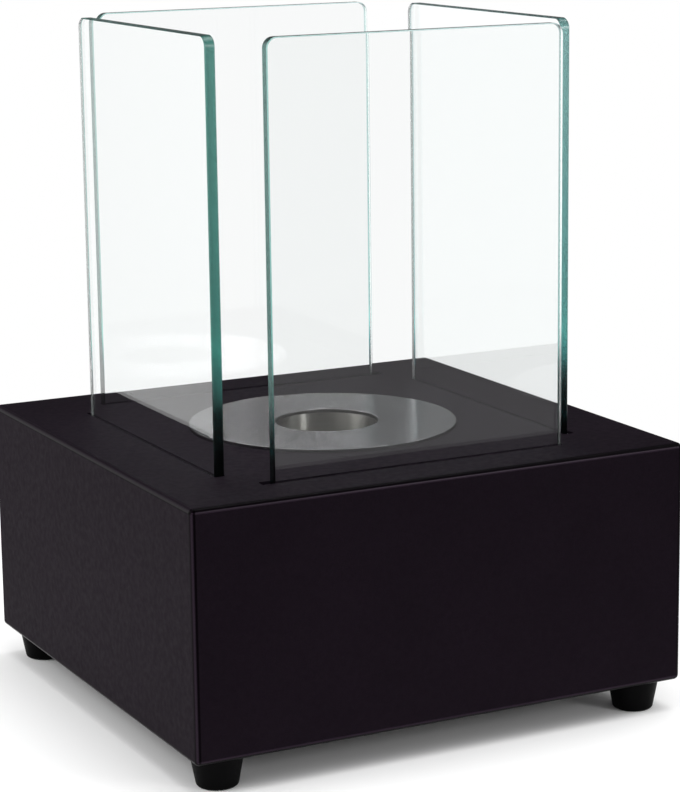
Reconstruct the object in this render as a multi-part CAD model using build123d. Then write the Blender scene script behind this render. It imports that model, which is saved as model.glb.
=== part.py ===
from build123d import *
import os

# Tabletop bioethanol fireplace. Millimetres, +Z up, front towards -Y.
# The origin is on the surface it stands on, at the middle of the footprint.

# ---- housing: a box folded from one steel sheet, open underneath ----
housing_width = 200.0
housing_depth = 195.0
housing_height = 92.0
housing_sheet = 1.2
edge_radius = 2.0
flange_width = 25.0
flange_gap = 0.8
burner_hole_diameter = 92.0

# ---- feet and what fastens them ----
foot_height = 12.0
foot_top_diameter = 19.5
foot_bottom_diameter = 15.0
foot_edge_radius = 1.4
foot_inset_x = 13.2
foot_inset_y = 12.3
foot_floor = 5.0
screw_diameter = 4.0
screw_length = 12.0
screw_head_diameter = 8.0
screw_head_height = 2.6
screw_head_chamfer = 0.9
drive_width = 1.0
drive_length = 4.6
drive_depth = 1.6
washer_diameter = 9.0
washer_thickness = 0.8
nut_width = 7.0
nut_height = 3.2
washer_clearance = 0.3
screw_clearance = 0.15
thread_clearance = 0.05

# ---- glass panes, all four alike: insets are from the housing's faces to the middle
# of the glass ----
glass_thickness = 4.0
pane_width = 118.0
front_pane_inset = 21.5
side_pane_inset = 28.5
pane_rise = 155.5
pane_seat_depth = 9.0
pane_corner_radius = 4.0
pane_arris = 0.4

# ---- slots in the top, and the channels and liners that hold the glass ----
slot_width = 4.5
slot_stop_gap = 0.5
slot_spare = 4.5
slot_corner_radius = 0.8
channel_sheet = 1.0
channel_bend_radius = 0.8
channel_lip = 4.0
channel_overrun = 2.0
liner_wall = 1.0
liner_floor = 1.5
liner_gap = 0.25
liner_top_gap = 1.6

# ---- burner ----
plate_diameter = 100.0
plate_thickness = 1.5
plate_edge_radius = 0.25
mouth_diameter = 40.0
burner_sheet = 0.8
neck_depth = 16.0
neck_flange_diameter = 56.0
neck_root_radius = 1.0
cup_diameter = 84.0
cup_depth = 60.0
cup_corner_radius = 6.0
cup_bend_radius = 1.2
cup_flange_clearance = 0.5
wool_height = 36.0
wool_clearance = 0.3
wool_edge_radius = 2.0

# ---- levels and places that follow from the sizes above. A slot is longer than its
# pane: a stop gap at one end and spare room at the other ----
housing_top = foot_height + housing_height
under_top = housing_top - housing_sheet
flange_top = foot_height + housing_sheet
pane_bottom = housing_top - pane_seat_depth
channel_floor = pane_bottom - liner_floor
channel_width = glass_thickness + 2 * (liner_gap + liner_wall)
slot_shift = (slot_stop_gap - slot_spare) / 2
foot_spots = {
    "front_left": (foot_inset_x - housing_width / 2, foot_inset_y - housing_depth / 2),
    "front_right": (housing_width / 2 - foot_inset_x, foot_inset_y - housing_depth / 2),
    "back_left": (foot_inset_x - housing_width / 2, housing_depth / 2 - foot_inset_y),
    "back_right": (housing_width / 2 - foot_inset_x, housing_depth / 2 - foot_inset_y),
}
front_pane_y = front_pane_inset - housing_depth / 2
side_pane_x = housing_width / 2 - side_pane_inset
slot_length = pane_width + slot_stop_gap + slot_spare

# Each pane is drawn standing along X at the origin and then turned into its place.
# The turns run round the box, so each slot's spare end lies beside its neighbour's stop end.
pane_spots = {
    "front": Location((0, front_pane_y, 0), (0, 0, 0)),
    "right": Location((side_pane_x, 0, 0), (0, 0, 90)),
    "back": Location((0, -front_pane_y, 0), (0, 0, 180)),
    "left": Location((-side_pane_x, 0, 0), (0, 0, 270)),
}


def folded_strip(corners, radii, thickness):
    """Section of a folded sheet that lies to the right of a line through its corners."""
    line = FilletPolyline(*corners, radius=radii)
    return make_face(offset(line, amount=thickness, side=Side.RIGHT).edges())


def make_housing():
    """Folded box with a burner hole, four slots and return flanges along its bottom edges."""
    block = Box(housing_width, housing_depth, housing_height)
    block = fillet(block.edges(), edge_radius)
    walls = 2 * housing_sheet
    hollow = Box(housing_width - walls, housing_depth - walls, housing_height - walls)
    # inside, only the folds are rounded: the upright corners are welded from behind
    folds = hollow.faces().filter_by(Axis.Z).edges()
    hollow = fillet(folds, edge_radius - housing_sheet)
    box = Pos(0, 0, foot_height + housing_height / 2) * (block - hollow)
    window_width = housing_width - 2 * flange_width
    window_depth = housing_depth - 2 * flange_width
    reach = 4 * housing_sheet
    box -= Pos(0, 0, foot_height) * Box(window_width, window_depth, reach)
    # the side flanges stop just short of the front and back ones
    inner_width = housing_width - 2 * edge_radius
    for side in (-1, 1):
        split_y = side * (window_depth - flange_gap) / 2
        box -= Pos(0, split_y, foot_height) * Box(inner_width, flange_gap, reach)
    box -= Pos(0, 0, housing_top) * Cylinder(burner_hole_diameter / 2, reach)
    outline = RectangleRounded(slot_length, slot_width, slot_corner_radius)
    cutter = Pos(slot_shift, 0, housing_top) * extrude(outline, reach, both=True)
    for place in pane_spots.values():
        box -= place * cutter
    for x, y in foot_spots.values():
        box -= Pos(x, y, foot_height) * Cylinder(screw_diameter / 2 + screw_clearance, reach)
    return box


def make_pane():
    """Toughened pane with rounded corners and a fine arris along every edge."""
    height = pane_seat_depth + pane_rise
    outline = Plane.XZ * RectangleRounded(pane_width, height, pane_corner_radius)
    pane = extrude(outline, glass_thickness / 2, both=True)
    rims = pane.faces().filter_by(Axis.Y).edges()
    pane = chamfer(rims, pane_arris)
    return Pos(0, 0, pane_bottom + height / 2) * pane


def along_slot(section):
    """Run a section drawn in the pane's cross direction along the whole slot."""
    length = slot_length + 2 * channel_overrun
    strip = extrude(Plane.YZ * section, length / 2, both=True)
    return Pos(slot_shift, 0, 0) * strip


def make_channel():
    """Bent steel channel whose lips are spot-welded to the underside of the top."""
    half = channel_width / 2
    lip_edge = half + channel_bend_radius + channel_sheet + channel_lip
    corners = [
        (-lip_edge, under_top),
        (-half, under_top),
        (-half, channel_floor),
        (half, channel_floor),
        (half, under_top),
        (lip_edge, under_top),
    ]
    outer = channel_bend_radius + channel_sheet
    radii = [outer, channel_bend_radius, channel_bend_radius, outer]
    return along_slot(folded_strip(corners, radii, channel_sheet))


def make_liner():
    """Silicone U strip between the pane and its channel."""
    top = under_top - liner_top_gap
    height = top - channel_floor
    outside = Pos(0, channel_floor + height / 2) * Rectangle(channel_width, height)
    outside = fillet(outside.vertices().sort_by(Axis.Y)[:2], channel_bend_radius)
    groove_height = top - pane_bottom
    groove = Rectangle(channel_width - 2 * liner_wall, groove_height)
    return along_slot(outside - Pos(0, pane_bottom + groove_height / 2) * groove)


def make_foot():
    """Tapered rubber foot with a recess for the screw head and its washer."""
    foot_profile = Polyline(
        (0, 0),
        (foot_bottom_diameter / 2, 0),
        (foot_top_diameter / 2, foot_height),
        (0, foot_height),
        close=True,
    )
    profile = make_face(foot_profile.edges())
    rim = profile.vertices().sort_by(Axis.Y)[:2].sort_by(Axis.X)[-1]
    profile = fillet(rim, foot_edge_radius)
    foot = revolve(Plane.XZ * profile, Axis.Z)
    recess_depth = foot_height - foot_floor
    recess_radius = washer_diameter / 2 + washer_clearance
    foot -= Pos(0, 0, recess_depth / 2) * Cylinder(recess_radius, recess_depth)
    foot -= Pos(0, 0, foot_height / 2) * Cylinder(screw_diameter / 2 + screw_clearance, foot_height)
    return foot


def make_washer():
    """Flat washer at the top of the foot's recess."""
    outline = Circle(washer_diameter / 2) - Circle(screw_diameter / 2 + screw_clearance)
    return Pos(0, 0, foot_height - foot_floor - washer_thickness) * extrude(outline, washer_thickness)


def make_screw():
    """Cross-recessed screw that points up through the foot and the flange."""
    head_top = foot_height - foot_floor - washer_thickness
    head = Cylinder(screw_head_diameter / 2, screw_head_height)
    head = chamfer(head.edges().sort_by(Axis.Z)[0], screw_head_chamfer)
    screw = Pos(0, 0, head_top - screw_head_height / 2) * head
    shank = Cylinder(screw_diameter / 2, screw_length)
    shank = chamfer(shank.edges().sort_by(Axis.Z)[-1], screw_diameter / 10)
    screw += Pos(0, 0, head_top + screw_length / 2) * shank
    drive = Box(drive_length, drive_width, drive_depth)
    drive += Box(drive_width, drive_length, drive_depth)
    return screw - Pos(0, 0, head_top - screw_head_height + drive_depth / 2) * drive


def make_nut():
    """Hexagon nut on the flange inside the housing."""
    outline = RegularPolygon(nut_width / 2, 6, major_radius=False)
    bore = Circle(screw_diameter / 2 + thread_clearance)
    return Pos(0, 0, flange_top) * extrude(outline - bore, nut_height)


def at_feet(piece):
    """Copies of a fastener, one at each foot."""
    return Compound(children=[Pos(x, y, 0) * piece for x, y in foot_spots.values()])


def make_burner_plate():
    """Brushed round plate with the mouth in its middle."""
    plate = extrude(Circle(plate_diameter / 2) - Circle(mouth_diameter / 2), plate_thickness)
    rims = plate.edges().group_by(Axis.Z)[-1]
    return Pos(0, 0, housing_top) * fillet(rims, plate_edge_radius)


def make_burner_neck():
    """Turned sleeve under the mouth, with a flange that is welded to the plate."""
    bore = mouth_diameter / 2
    outside = bore + burner_sheet
    under_flange = housing_top - burner_sheet
    corners = [
        (bore, housing_top - neck_depth),
        (bore, housing_top),
        (neck_flange_diameter / 2, housing_top),
        (neck_flange_diameter / 2, under_flange),
        (outside, under_flange),
        (outside, housing_top - neck_depth),
    ]
    section = make_face(Polyline(*corners, close=True).edges())
    root = section.vertices().sort_by_distance((outside, under_flange))[0]
    return revolve(Plane.XZ * fillet(root, neck_root_radius), Axis.Z)


def make_burner_cup():
    """Drawn cup that holds the fuel, hung from the plate by its flange."""
    inside = cup_diameter / 2 - burner_sheet
    floor = housing_top - cup_depth + burner_sheet
    flange = burner_hole_diameter / 2 - cup_flange_clearance
    corners = [(0, floor), (inside, floor), (inside, housing_top), (flange, housing_top)]
    radii = [cup_corner_radius - burner_sheet, cup_bend_radius + burner_sheet]
    return revolve(Plane.XZ * folded_strip(corners, radii, burner_sheet), Axis.Z)


def make_burner_wool():
    """Pad of ceramic wool that soaks up the fuel."""
    radius = cup_diameter / 2 - burner_sheet - wool_clearance
    pad = Cylinder(radius, wool_height)
    pad = fillet(pad.edges().sort_by(Axis.Z)[0], cup_corner_radius - burner_sheet)
    pad = fillet(pad.edges().sort_by(Axis.Z)[-1], wool_edge_radius)
    return Pos(0, 0, housing_top - cup_depth + burner_sheet + wool_height / 2) * pad


def build():
    """Every node by name."""
    nodes = {"base_housing": make_housing()}
    for side, place in pane_spots.items():
        nodes["glass_pane_" + side] = place * make_pane()
        nodes["pane_channel_" + side] = place * make_channel()
        nodes["pane_liner_" + side] = place * make_liner()
    for corner, (x, y) in foot_spots.items():
        nodes["foot_" + corner] = Pos(x, y, 0) * make_foot()
    nodes["foot_washers"] = at_feet(make_washer())
    nodes["foot_screws"] = at_feet(make_screw())
    nodes["foot_nuts"] = at_feet(make_nut())
    nodes["burner_plate"] = make_burner_plate()
    nodes["burner_neck"] = make_burner_neck()
    nodes["burner_cup"] = make_burner_cup()
    nodes["burner_wool"] = make_burner_wool()
    return nodes


os.makedirs("parts", exist_ok=True)
for node, shape in build().items():
    export_step(shape, "parts/" + node + ".step")
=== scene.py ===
import math
import bmesh
import bpy
from mathutils import Euler, Matrix, Vector, noise


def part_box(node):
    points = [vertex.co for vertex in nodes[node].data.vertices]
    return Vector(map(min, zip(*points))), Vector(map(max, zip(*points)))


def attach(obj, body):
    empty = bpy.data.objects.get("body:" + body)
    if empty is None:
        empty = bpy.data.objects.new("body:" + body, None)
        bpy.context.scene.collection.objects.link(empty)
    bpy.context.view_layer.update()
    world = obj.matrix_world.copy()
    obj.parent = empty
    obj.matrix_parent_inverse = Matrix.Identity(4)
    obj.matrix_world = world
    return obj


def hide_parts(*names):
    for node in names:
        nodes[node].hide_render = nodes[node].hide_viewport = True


# Dressing of a tabletop bioethanol fireplace. Metres, +Z up, front towards -Y.

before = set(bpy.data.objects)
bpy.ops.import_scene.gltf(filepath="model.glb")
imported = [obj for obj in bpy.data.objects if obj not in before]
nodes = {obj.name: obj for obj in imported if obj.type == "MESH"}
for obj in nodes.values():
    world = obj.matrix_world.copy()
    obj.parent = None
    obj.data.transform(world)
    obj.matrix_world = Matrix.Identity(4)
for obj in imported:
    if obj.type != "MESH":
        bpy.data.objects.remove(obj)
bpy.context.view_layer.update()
sides = ("front", "right", "back", "left")
corners = ("front_left", "front_right", "back_left", "back_right")
top_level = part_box("base_housing")[1].z
pane_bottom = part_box("glass_pane_front")[0].z

# ---- camera: it stands in front, to the left and a little above, and looks slightly down ----
image_height = 792
sensor_long_side = 36.0
camera_place = (-0.4414, -0.8851, 0.3256)
camera_yaw = 26.851
camera_pitch = 12.049
camera_roll = -0.749
focal_length_pixels = 2620.2

# ---- lamps: name, place, side of the square, watts. All look at lamp_target ----
lamps = (
    ("lamp_left", (-1.1, 0.28, 0.8), 0.8, 7.0),
    ("lamp_top", (0.2, -0.1, 1.8), 1.4, 21.0),
    ("lamp_front", (0.8, -1.45, 0.6), 0.4, 5.5),
    ("lamp_right", (0.72, -0.36, 0.6), 0.3, 1.6),
)
lamp_target = (0, 0, 0.1)

# ---- sky: what matt surfaces get, and the graded one that reflections show ----
sky_for_matt = 0.7
sky_bright = 1.5
sky_dim_above = 0.14
sky_dim_below = 0.5
sky_dark_above = 0.12
sky_bright_side = (-1.0, 0.2, 0.0)
sky_bright_range = (0.3, 0.75)
horizon_range = (-0.05, 0.05)
ceiling_range = (0.35, 0.75)

# ---- floor: solid round the object, then it fades out ----
floor_reach = 1.2
floor_segments = 96
floor_tone = (0.93, 0.93, 0.93, 1)
floor_fade = (0.11, 0.3)

# ---- coat ----
coat_dark = (0.0036, 0.0014, 0.0039)
coat_light = (0.0047, 0.0021, 0.005)
coat_gloss_tint = (1.0, 0.86, 1.0, 1)
# painted shade and highlight bands over a fold between two axes, by the first one's share in the
# surface's direction
fold_painted_light_bands = (
    ("Z", "Y", (
        (0.02, 1.0), (0.06, 2.2), (0.24, 2.2), (0.36, 0.2), (0.66, 0.2), (0.88, 1.0))),
    ("Z", "X", (
        (0.04, 1.0), (0.1, 0.35), (0.24, 0.35), (0.38, 1.1), (0.7, 1.1), (0.9, 1.0))),
    ("X", "Y", (
        (0.04, 1.0), (0.12, 0.3), (0.28, 0.3), (0.4, 2.0), (0.52, 2.0), (0.64, 0.5),
        (0.8, 0.5), (0.94, 1.0))),
)

# ---- glass: its ends carry a painted reflection of the black coat at the foot, and are green above, lighter and darker by height ----
# The heights are above the top. The painted black reaches lower at the right, by ends_tilt per
# metre.
ends_range = (0.006, 0.1525)
ends_tilt = 0.042
ends_green_and_painted_reflection = (
    (0.0, (0.0001, 0.0003, 0.0004)),
    (0.048, (0.0006, 0.012, 0.014)),
    (0.096, (0.009, 0.14, 0.13)),
    (0.143, (0.07, 0.52, 0.41)),
    (0.185, (0.055, 0.3, 0.25)),
    (0.26, (0.055, 0.25, 0.215)),
    (1.0, (0.14, 0.36, 0.32)),
)
# painted shade: the ends' gloss is dimmed towards the foot
ends_painted_gloss_dimming = ((0.0, 0.12), (0.08, 0.2), (0.2, 1.0))
# painted light: the ends of the glass grow lighter towards the right pane
painted_light_range = (-0.06, 0.06)
painted_light_at_right = (3.1, 1.7, 1.95)
# the lowest strip stands in the liner: it lets no light in
seated_range = (0.0006, 0.0036)
seated_colour = (0.004, 0.006, 0.006, 1)
shadow_tint = (0.93, 0.96, 0.95, 1)
inside_tint = (0.0, 0.55, 0.47, 1)
inside_density = 5.0

white = (1, 1, 1, 1)


# ---------------------------------------------------------------- nodes of a material
# A value is a plain one or the output socket that drives it.

def feed(tree, value, socket):
    """Link an output to a socket, or set the socket's plain value."""
    if isinstance(value, bpy.types.NodeSocket):
        tree.links.new(value, socket)
    else:
        socket.default_value = value


def add(tree, kind, values=None, **settings):
    """New node with settings on itself and values on its sockets."""
    node = tree.nodes.new(kind)
    for key, value in settings.items():
        setattr(node, key, value)
    for key, value in (values or {}).items():
        feed(tree, value, node.inputs[key])
    return node


def start_material(name):
    """Empty node material with its output."""
    material = bpy.data.materials.new(name)
    material.use_nodes = True
    tree = material.node_tree
    tree.nodes.clear()
    return material, tree, add(tree, "ShaderNodeOutputMaterial")


def cover(tree, output, values):
    """Put a principled shader on the surface."""
    shader = add(tree, "ShaderNodeBsdfPrincipled", values)
    feed(tree, shader.outputs["BSDF"], output.inputs["Surface"])


def texture_place(tree, output="Object"):
    """Place on the piece in metres, or the surface's direction."""
    return add(tree, "ShaderNodeTexCoord").outputs[output]


def stretched_place(tree, scale=(1, 1, 1), turn=(0, 0, 0)):
    """Place on the piece, stretched and turned."""
    values = {"Vector": texture_place(tree), "Scale": scale, "Rotation": turn}
    return add(tree, "ShaderNodeMapping", values).outputs["Vector"]


def noise_at(tree, place, scale, detail=3.0, roughness=0.6):
    values = {"Vector": place, "Scale": scale, "Detail": detail, "Roughness": roughness}
    return add(tree, "ShaderNodeTexNoise", values).outputs["Fac"]


def ramp(tree, source, stops):
    """Colour ramp with stops of (place, grey or colour)."""
    node = add(tree, "ShaderNodeValToRGB", {"Fac": source})
    elements = node.color_ramp.elements
    while len(elements) < len(stops):
        elements.new(0.5)
    for element, (place, colour) in zip(elements, stops):
        element.position = place
        if isinstance(colour, float):
            colour = (colour, colour, colour)
        element.color = (*colour, 1.0)
    return node.outputs["Color"]


def maths(tree, operation, first, second):
    values = {0: first, 1: second}
    return add(tree, "ShaderNodeMath", values, operation=operation).outputs["Value"]


def spread(tree, source, limits, low=0.0, high=1.0, smooth=False):
    """Value that goes from low to high as the source passes through the limits."""
    values = {
        "Value": source, "From Min": limits[0], "From Max": limits[1],
        "To Min": low, "To Max": high}
    kind = "SMOOTHSTEP" if smooth else "LINEAR"
    node = add(tree, "ShaderNodeMapRange", values, interpolation_type=kind)
    return node.outputs["Result"]


def parts_of(tree, vector):
    """Outputs X, Y and Z of a vector."""
    return add(tree, "ShaderNodeSeparateXYZ", {"Vector": vector}).outputs


def along(tree, place, direction):
    """How far a place lies along a direction."""
    values = {0: place, 1: direction}
    return add(tree, "ShaderNodeVectorMath", values, operation="DOT_PRODUCT").outputs["Value"]


def multiply(tree, first, second):
    """Product of two colours."""
    values = {0: 1.0, 6: first, 7: second}
    node = add(tree, "ShaderNodeMix", values, data_type="RGBA", blend_type="MULTIPLY")
    return node.outputs[2]


def by_mask(tree, mask, first, second):
    """Colour that is the first where the mask is 0 and the second where it is 1."""
    values = {0: mask, 6: first, 7: second}
    return add(tree, "ShaderNodeMix", values, data_type="RGBA").outputs[2]


def number_by_mask(tree, mask, first, second):
    """Number that is the first where the mask is 0 and the second where it is 1."""
    values = {0: mask, 2: first, 3: second}
    return add(tree, "ShaderNodeMix", values, data_type="FLOAT").outputs[0]


def shader_by_mask(tree, mask, first, second):
    """Shader that is the first where the mask is 0 and the second where it is 1."""
    values = {"Fac": mask, 1: first, 2: second}
    return add(tree, "ShaderNodeMixShader", values).outputs["Shader"]


def bump(tree, height, distance, strength, under=None):
    """Surface direction over a relief, on top of another one if given."""
    values = {"Height": height, "Distance": distance, "Strength": strength}
    if under:
        values["Normal"] = under
    return add(tree, "ShaderNodeBump", values).outputs["Normal"]


def lean(tree):
    """Surface direction on the piece, all parts made positive."""
    values = {0: texture_place(tree, "Normal")}
    return add(tree, "ShaderNodeVectorMath", values, operation="ABSOLUTE").outputs["Vector"]


def off_axis(tree, axes, begin, end):
    """Mask that grows from 0 to 1 as the surface turns away from every one of the axes."""
    values = {0: lean(tree), 1: axes}
    kept = add(tree, "ShaderNodeVectorMath", values, operation="MULTIPLY").outputs["Vector"]
    parts = parts_of(tree, kept)
    largest = maths(tree, "MAXIMUM", parts["X"], parts["Y"])
    largest = maths(tree, "MAXIMUM", largest, parts["Z"])
    return spread(tree, largest, (1.0 - begin, 1.0 - end))


def dress(name, material):
    """Give a CAD node its material."""
    piece = nodes[name]
    if not piece.material_slots:
        piece.data.materials.append(None)
    for slot in piece.material_slots:
        slot.material = material


# ---------------------------------------------------------------- materials

def painted_fold_light(tree):
    """Painted shade and highlight of the coat round the folds: dark and light bands by the
    surface's direction.
    """
    parts = parts_of(tree, lean(tree))
    tone = None
    for one, other, stops in fold_painted_light_bands:
        both = maths(tree, "ADD", parts[one], parts[other])
        share = maths(tree, "DIVIDE", parts[one], both)
        part = ramp(tree, share, stops)
        tone = multiply(tree, tone, part) if tone else part
    return tone


def powder_coat():
    """Matt black powder coat with a fine grain, smoother where it runs thin over a fold, with
    painted shade and highlight bands round the folds.
    """
    material, tree, output = start_material("powder_coat_black")
    place = stretched_place(tree, turn=(0.6, 0.5, 0.4))
    grain = noise_at(tree, place, 1900.0, 1.0, 0.5)
    peel = noise_at(tree, place, 420.0, 2.0, 0.5)
    cloud = noise_at(tree, place, 28.0, 4.0)
    colour = ramp(tree, cloud, ((0.3, coat_dark), (0.7, coat_light)))
    speck = ramp(tree, grain, ((0.35, 0.8), (0.7, 1.3)))
    # painted shade and highlight bands round the folds, in the colour and in the gloss
    painted_fold_light_tone = painted_fold_light(tree)
    rough = ramp(tree, peel, ((0.3, 0.66), (0.7, 0.76)))
    fold = off_axis(tree, (1, 1, 1), 0.005, 0.03)
    coarse = bump(tree, peel, 0.00008, 0.5)
    cover(tree, output, {
        "IOR": 1.5,
        "Specular IOR Level": 0.085,
        # the painted fold shade and highlight tint both the colour and the gloss
        "Base Color": multiply(tree, multiply(tree, colour, speck), painted_fold_light_tone),
        "Specular Tint": multiply(tree, painted_fold_light_tone, coat_gloss_tint),
        "Roughness": number_by_mask(tree, fold, rough, 0.35),
        "Normal": bump(tree, grain, 0.00003, 0.5, coarse),
    })
    return material


def float_glass(name, face_axis):
    """Clear float glass with ground ends, green where light runs a long way inside it, with a
    painted reflection of the coat at their foot, painted dimming of their gloss there and
    painted light on the right pane's ends.
    """
    material, tree, output = start_material(name)
    place = stretched_place(tree)
    smear = noise_at(tree, place, 60.0)
    polished = ramp(tree, smear, ((0.45, 0.0), (0.8, 0.012)))
    grinding = noise_at(tree, place, 900.0)
    ground = ramp(tree, grinding, ((0.3, 0.2), (0.7, 0.26)))

    parts = parts_of(tree, texture_place(tree))
    level = along(tree, texture_place(tree), (ends_tilt, 0.0, 1.0))
    height = spread(tree, level, [top_level + limit for limit in ends_range])
    # painted reflection of the black coat at the foot of the ends, green above, lighter and
    # darker by height
    green_and_painted_reflection = ramp(tree, height, ends_green_and_painted_reflection)
    to_right = spread(tree, parts["X"], painted_light_range)
    # painted light: the ends grow lighter towards the right
    painted_light_right = ramp(tree, to_right, ((0.0, 1.0), (1.0, painted_light_at_right)))
    # painted shade: the ends' gloss dimmed towards the foot
    painted_gloss = ramp(tree, height, ends_painted_gloss_dimming)

    end = off_axis(tree, face_axis, 0.05, 0.06)
    tint = by_mask(tree, end, white, multiply(tree, green_and_painted_reflection, painted_light_right))
    free = spread(tree, parts["Z"], [pane_bottom + limit for limit in seated_range])
    glass = add(tree, "ShaderNodeBsdfPrincipled", {
        "IOR": 1.5,
        "Base Color": by_mask(tree, free, seated_colour, tint),
        "Roughness": number_by_mask(tree, end, polished, ground),
        "Specular Tint": by_mask(tree, end, white, painted_gloss),
        "Transmission Weight": free,
    })
    # shadows are let through, as the light would come through the glass
    open_way = add(tree, "ShaderNodeBsdfTransparent", {"Color": shadow_tint})
    in_shadow = add(tree, "ShaderNodeLightPath").outputs["Is Shadow Ray"]
    surface = shader_by_mask(tree, in_shadow, glass.outputs["BSDF"], open_way.outputs["BSDF"])
    feed(tree, surface, output.inputs["Surface"])
    values = {"Color": inside_tint, "Density": inside_density}
    inside = add(tree, "ShaderNodeVolumeAbsorption", values)
    feed(tree, inside.outputs["Volume"], output.inputs["Volume"])
    return material


def brushed_plate():
    """Stainless sheet with a fine straight brushing along X and a dull cut rim."""
    material, tree, output = start_material("brushed_sheet")
    hair = noise_at(tree, stretched_place(tree, (12.0, 2400.0, 2400.0)), 1.0, 2.0, 0.7)
    band = noise_at(tree, stretched_place(tree, (5.0, 330.0, 330.0)), 1.0)
    blotch = noise_at(tree, stretched_place(tree), 38.0)
    tone = ramp(tree, blotch, ((0.3, (0.315, 0.303, 0.323)), (0.7, (0.35, 0.343, 0.355))))
    fine = ramp(tree, hair, ((0.3, 0.88), (0.7, 1.1)))
    wide = ramp(tree, band, ((0.3, 0.93), (0.7, 1.05)))
    brushed = multiply(tree, multiply(tree, tone, fine), wide)
    rim = off_axis(tree, (0, 0, 1), 0.04, 0.25)
    cover(tree, output, {
        "Metallic": 1.0,
        "Anisotropic": 0.95,
        "Specular Tint": (0.6, 0.6, 0.6, 1),
        "Tangent": add(tree, "ShaderNodeCombineXYZ", {"Y": 1.0}).outputs["Vector"],
        "Base Color": by_mask(tree, rim, brushed, (0.25, 0.24, 0.25, 1)),
        "Roughness": ramp(tree, hair, ((0.3, 0.21), (0.7, 0.25))),
    })
    return material


def turned_neck():
    """Polished sleeve whose turning marks run round it and draw reflections out up and down."""
    material, tree, output = start_material("turned_sleeve")
    marks = noise_at(tree, stretched_place(tree, (60.0, 60.0, 2600.0)), 1.0)
    stain = noise_at(tree, stretched_place(tree), 90.0)
    tone = ramp(tree, stain, ((0.3, (0.225, 0.212, 0.198)), (0.7, (0.255, 0.245, 0.232))))
    lines = ramp(tree, marks, ((0.3, 0.93), (0.7, 1.05)))
    cover(tree, output, {
        "Metallic": 1.0,
        "Anisotropic": 0.95,
        "Tangent": add(tree, "ShaderNodeCombineXYZ", {"Z": 1.0}).outputs["Vector"],
        "Base Color": multiply(tree, tone, lines),
        "Roughness": ramp(tree, marks, ((0.3, 0.3), (0.7, 0.36))),
    })
    return material


def metal(name, colour, roughness, stretch, contrast, depth):
    """Bare metal whose tone, gloss and surface vary with a stretched grain."""
    material, tree, output = start_material(name)
    grain = noise_at(tree, stretched_place(tree, stretch), 1.0)
    stain = noise_at(tree, stretched_place(tree), 60.0, 4.0)
    stained = tuple(0.9 * part for part in colour)
    clean = tuple(1.08 * part for part in colour)
    tone = ramp(tree, stain, ((0.3, stained), (0.7, clean)))
    lines = ramp(tree, grain, ((0.3, 1.0 - contrast), (0.7, 1.0 + contrast)))
    cover(tree, output, {
        "Metallic": 1.0,
        "Base Color": multiply(tree, tone, lines),
        "Roughness": ramp(tree, grain, ((0.3, 0.8 * roughness), (0.7, 1.2 * roughness))),
        "Normal": bump(tree, grain, depth, 0.6),
    })
    return material


def rubber(name, colour, roughness):
    """Moulded rubber with a faint satin mottling."""
    material, tree, output = start_material(name)
    place = stretched_place(tree)
    mottle = noise_at(tree, place, 900.0)
    dust = noise_at(tree, place, 90.0, 4.0)
    dark = tuple(0.8 * part for part in colour)
    light = tuple(1.5 * part for part in colour)
    cover(tree, output, {
        "IOR": 1.5,
        "Specular IOR Level": 0.04,
        "Base Color": ramp(tree, dust, ((0.35, dark), (0.75, light))),
        "Roughness": ramp(tree, mottle, ((0.3, roughness - 0.08), (0.7, roughness + 0.08))),
        "Normal": bump(tree, mottle, 0.00004, 0.5),
    })
    return material


def ceramic_wool():
    """Ceramic fibre, painted grey as shade deep inside the burner."""
    material, tree, output = start_material("wool_fibre")
    place = stretched_place(tree)
    fibre = noise_at(tree, place, 1500.0, 5.0, 0.7)
    lump = noise_at(tree, place, 160.0)
    cover(tree, output, {
        "Specular IOR Level": 0.1,
        # painted shade: the fibre is greyed to stand for the shade deep in the burner
        "Base Color": ramp(tree, lump, ((0.3, (0.22, 0.205, 0.185)), (0.7, (0.33, 0.31, 0.28)))),
        "Roughness": 0.95,
        "Normal": bump(tree, fibre, 0.0004, 0.9),
    })
    return material


# ---------------------------------------------------------------- camera, light and floor

def make_camera():
    data = bpy.data.cameras.new("camera")
    camera = bpy.data.objects.new("camera", data)
    bpy.context.scene.collection.objects.link(camera)
    data.sensor_width = sensor_long_side
    data.lens = focal_length_pixels / image_height * sensor_long_side
    data.clip_start = 0.05
    data.clip_end = 50.0
    camera.location = camera_place
    turn = (math.radians(90.0 - camera_pitch), 0.0, math.radians(-camera_yaw))
    roll = Matrix.Rotation(math.radians(camera_roll), 3, "Z")
    camera.rotation_euler = (Euler(turn).to_matrix() @ roll).to_euler()
    bpy.context.scene.camera = camera


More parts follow.
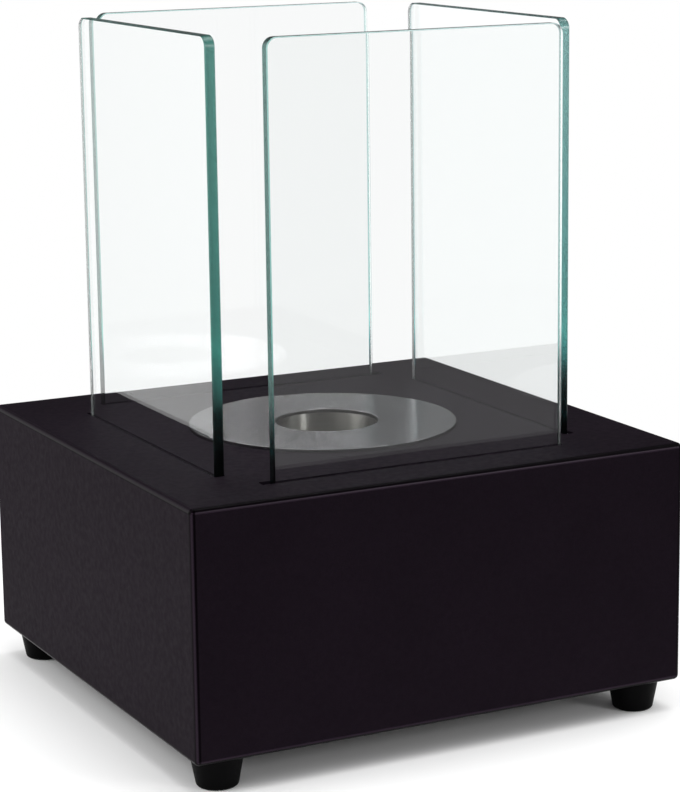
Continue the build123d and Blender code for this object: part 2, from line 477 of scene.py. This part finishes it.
def make_world():
    """White behind the object, also through glass, grey for matt surfaces, and for
    reflections bright on one side, dim elsewhere and dark overhead."""
    world = bpy.data.worlds.new("studio")
    world.use_nodes = True
    tree = world.node_tree
    tree.nodes.clear()
    output = add(tree, "ShaderNodeOutputWorld")

    way = texture_place(tree, "Generated")
    height = parts_of(tree, way)["Z"]
    sideways = along(tree, way, Vector(sky_bright_side).normalized())
    dim = spread(tree, height, horizon_range, sky_dim_below, sky_dim_above)
    graded = spread(tree, sideways, sky_bright_range, dim, sky_bright)
    ceiling = spread(tree, height, ceiling_range, 1.0, sky_dark_above, smooth=True)

    def sky(colour, strength):
        values = {"Color": colour, "Strength": strength}
        return add(tree, "ShaderNodeBackground", values).outputs["Background"]

    path = add(tree, "ShaderNodeLightPath").outputs
    straight = maths(tree, "LESS_THAN", path["Glossy Depth"], 0.5)
    through = maths(tree, "MULTIPLY", path["Is Transmission Ray"], straight)
    seen = maths(tree, "MAXIMUM", path["Is Camera Ray"], through)
    shiny = maths(tree, "MAXIMUM", path["Is Glossy Ray"], path["Is Transmission Ray"])
    reflected = sky(maths(tree, "MULTIPLY", graded, ceiling), 1.0)
    unseen = shader_by_mask(tree, shiny, sky(white, sky_for_matt), reflected)
    surface = shader_by_mask(tree, seen, unseen, sky(white, 1.0))
    feed(tree, surface, output.inputs["Surface"])
    world.cycles.sampling_method = "NONE"
    bpy.context.scene.world = world


def make_lamp(name, place, size, power):
    """Soft square lamp that looks at the middle of the object."""
    data = bpy.data.lights.new(name, "AREA")
    data.shape = "SQUARE"
    data.size = size
    data.energy = power
    lamp = bpy.data.objects.new(name, data)
    bpy.context.scene.collection.objects.link(lamp)
    lamp.location = place
    aim = Vector(lamp_target) - lamp.location
    lamp.rotation_euler = aim.to_track_quat("-Z", "Y").to_euler()


def make_floor():
    """Pale round floor that fades out into the white background."""
    mesh = bpy.data.meshes.new("floor")
    shape = bmesh.new()
    bmesh.ops.create_circle(shape, cap_ends=True, radius=floor_reach, segments=floor_segments)
    shape.to_mesh(mesh)
    shape.free()
    floor = bpy.data.objects.new("floor", mesh)
    bpy.context.scene.collection.objects.link(floor)
    material, tree, output = start_material("floor_pale")
    paint = add(tree, "ShaderNodeBsdfDiffuse", {"Color": floor_tone}).outputs["BSDF"]
    clear = add(tree, "ShaderNodeBsdfTransparent").outputs["BSDF"]
    values = {0: texture_place(tree)}
    away = add(tree, "ShaderNodeVectorMath", values, operation="LENGTH").outputs["Value"]
    fade = spread(tree, away, floor_fade, smooth=True)
    feed(tree, shader_by_mask(tree, fade, paint, clear), output.inputs["Surface"])
    mesh.materials.append(material)


# ---------------------------------------------------------------- pieces

def wool_profile(radius, bottom, top):
    """Half section of the pad as (radius, height), from the middle of its top to that of
    its bottom, with both rims rounded."""
    middle = 0.002
    edge = 0.005
    top_rings = 22
    side_rings = 8
    edge_rings = 6
    inner = radius - edge
    bends = [math.pi / 2 * step / edge_rings for step in range(1, edge_rings + 1)]
    profile = []
    for step in range(top_rings):
        profile.append((middle + (inner - middle) * step / (top_rings - 1), top))
    for bend in bends:
        profile.append((inner + edge * math.sin(bend), top - edge * (1 - math.cos(bend))))
    for step in range(1, side_rings + 1):
        fall = (bottom + edge - top + edge) * step / side_rings
        profile.append((radius, top - edge + fall))
    for bend in bends:
        fall = edge * math.sin(bend)
        profile.append((radius - edge * (1 - math.cos(bend)), bottom + edge - fall))
    profile.append((middle, bottom))
    return profile, bottom + edge


def make_wool(material):
    """Ceramic wool: a fluffy round pad with an uneven top, in the place of the plain one."""
    around = 96
    side_gap = 0.0006
    bottom_gap = 0.0004
    top_gap = 0.0022
    lump_size = 130.0
    lump_height = 0.0016
    lump_depth = 0.004
    lump_spread = 0.006
    low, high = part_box("burner_wool")
    centre = (low + high) / 2
    radius = (high.x - low.x) / 2 - side_gap
    top = high.z - top_gap
    profile, flat_below = wool_profile(radius, low.z + bottom_gap, top)
    mesh = bpy.data.meshes.new("wool_pad")
    shape = bmesh.new()
    loops = []
    for reach, height in profile:
        loop = []
        for step in range(around):
            angle = 2 * math.pi * step / around
            x = centre.x + reach * math.cos(angle)
            y = centre.y + reach * math.sin(angle)
            loop.append(shape.verts.new(Vector((x, y, height))))
        loops.append(loop)
    for one, two in zip(loops, loops[1:]):
        for step in range(around):
            after = (step + 1) % around
            shape.faces.new((one[step], one[after], two[after], two[step]))
    shape.faces.new(loops[0])
    shape.faces.new(reversed(loops[-1]))
    bmesh.ops.recalc_face_normals(shape, faces=shape.faces)
    for vertex in shape.verts:
        if vertex.co.z > flat_below:
            lumps = noise.fractal(vertex.co * lump_size, 0.9, 2.0, 4)
            upper = max(0.0, (vertex.co.z - top + lump_depth) / lump_depth)
            vertex.co.z += lump_height * lumps * upper
            vertex.co.xy *= 1 + lump_spread * (lumps - 0.5)
    for face in shape.faces:
        face.smooth = True
    shape.to_mesh(mesh)
    shape.free()
    pad = bpy.data.objects.new("wool_pad", mesh)
    bpy.context.scene.collection.objects.link(pad)
    mesh.materials.append(material)
    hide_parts("burner_wool")
    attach(pad, "burner")


# ---------------------------------------------------------------- put together

scene = bpy.context.scene
scene.view_settings.view_transform = "Standard"
# light that runs up and down inside the glass needs many bounces
scene.cycles.max_bounces = 48
scene.cycles.glossy_bounces = 48
scene.cycles.transmission_bounces = 48
make_camera()
make_world()
for lamp in lamps:
    make_lamp(*lamp)
make_floor()

dress("base_housing", powder_coat())
glass_facing_y = float_glass("float_glass_facing_y", (0, 1, 0))
glass_facing_x = float_glass("float_glass_facing_x", (1, 0, 0))
zinc = metal("zinc_plate", (0.4, 0.41, 0.43), 0.35, (300.0, 300.0, 300.0), 0.15, 0.00002)
silicone = rubber("silicone_black", (0.012, 0.012, 0.012), 0.6)
foot_rubber = rubber("moulded_rubber", (0.0011, 0.001, 0.0012), 0.5)
steel = metal("drawn_stainless", (0.42, 0.41, 0.4), 0.3, (60.0, 60.0, 800.0), 0.05, 0.000003)
for side in sides:
    dress("glass_pane_" + side, glass_facing_y if side in ("front", "back") else glass_facing_x)
    dress("pane_channel_" + side, zinc)
    dress("pane_liner_" + side, silicone)
for corner in corners:
    dress("foot_" + corner, foot_rubber)
for name in ("foot_washers", "foot_screws", "foot_nuts"):
    dress(name, zinc)
dress("burner_plate", brushed_plate())
dress("burner_neck", turned_neck())
dress("burner_cup", steel)
make_wool(ceramic_wool())
